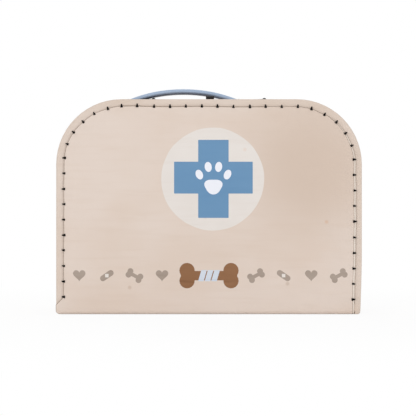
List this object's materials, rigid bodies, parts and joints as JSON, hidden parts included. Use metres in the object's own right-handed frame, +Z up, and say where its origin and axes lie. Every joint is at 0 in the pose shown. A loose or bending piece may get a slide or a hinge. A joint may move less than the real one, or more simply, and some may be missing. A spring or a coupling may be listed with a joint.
{
  "type": "toy vet kit",
  "caption": "Child's stitched cardboard carry case that opens like a clamshell, with a bow handle on wire rings, a steel clasp, and play vet instruments in a card insert.",
  "frame": {"origin": "centre of the case's underside, on the floor it stands on", "axes": "+X along the width, the front of the lid faces -Y, +Z up"},
  "size_m": [0.3, 0.095, 0.2263],
  "materials": {
    "board": "printed pinkish beige paper on board, dull",
    "hinge_cloth": "book cloth",
    "collar_card": "plain white-faced card",
    "handle_blue": "light steel blue, satin",
    "wire": "dark plated wire",
    "black_steel": "black, half gloss",
    "insert_card": "plain kraft card, dull",
    "white_plastic": "white, half gloss",
    "pale_blue_plastic": "soft blue, half gloss",
    "beech": "smooth oiled beech",
    "blue_rubber": "dull",
    "gauze": "open cotton gauze"
  },
  "bodies": {
    "root": {"base_panel": "board", "base_band": "board", "base_hinge_cloth": "hinge_cloth", "base_collar": "collar_card", "handle_bracket_left": "black_steel", "handle_bracket_right": "black_steel", "bracket_rivet_1": "black_steel", "bracket_rivet_2": "black_steel", "bracket_rivet_3": "black_steel", "bracket_rivet_4": "black_steel", "clasp_plate": "black_steel", "clasp_pin": "black_steel", "clasp_rivet_1": "black_steel", "clasp_rivet_2": "black_steel", "insert_tray": "insert_card", "syringe_barrel": "white_plastic", "thermometer": "beech", "hammer_handle": "beech", "hammer_head": "blue_rubber", "otoscope_grip": "beech", "otoscope_head": "pale_blue_plastic", "medicine_bottle": "white_plastic", "medicine_cap": "pale_blue_plastic", "bandage_roll": "gauze"},
    "lid": {"lid_panel": "board", "lid_band": "board", "lid_hinge_cloth": "hinge_cloth", "catch_plate": "black_steel", "catch_rivet_1": "black_steel", "catch_rivet_2": "black_steel"},
    "hasp": {"clasp_hasp": "black_steel"},
    "ring_left": {"handle_ring_left": "wire"},
    "ring_right": {"handle_ring_right": "wire"},
    "handle": {"handle": "handle_blue"},
    "plunger": {"syringe_plunger": "pale_blue_plastic"}
  },
  "joints": [
    {"name": "lid_hinge", "type": "hinge", "parent": "root", "child": "lid", "pos_m": [0, -0.0055, 0], "axis": [1, 0, 0], "range_deg": [0, 175]},
    {"name": "hasp_lift", "type": "hinge", "parent": "root", "child": "hasp", "pos_m": [0.001, -0.0025, 0.2128], "axis": [-1, 0, 0], "range_deg": [0, 100]},
    {"name": "ring_left_swing", "type": "hinge", "parent": "root", "child": "ring_left", "pos_m": [-0.057, 0.021, 0.2153], "axis": [0, 1, 0], "range_deg": [0, 186]},
    {"name": "ring_right_swing", "type": "hinge", "parent": "root", "child": "ring_right", "pos_m": [0.057, 0.021, 0.2153], "axis": [0, 1, 0], "range_deg": [0, 186]},
    {"name": "handle_tilt", "type": "hinge", "parent": "ring_left", "child": "handle", "pos_m": [-0.08336, 0.021, 0.2139], "axis": [0, 1, 0], "range_deg": [-186, 0]},
    {"name": "plunger_slide", "type": "slide", "parent": "root", "child": "plunger", "axis": [1, 0, 0], "range_m": [0, 0.03]}
  ],
  "couplings": [
    {"joint": "ring_right_swing", "follows": "ring_left_swing", "ratio": 1},
    {"joint": "handle_tilt", "follows": "ring_left_swing", "ratio": -1}
  ]
}
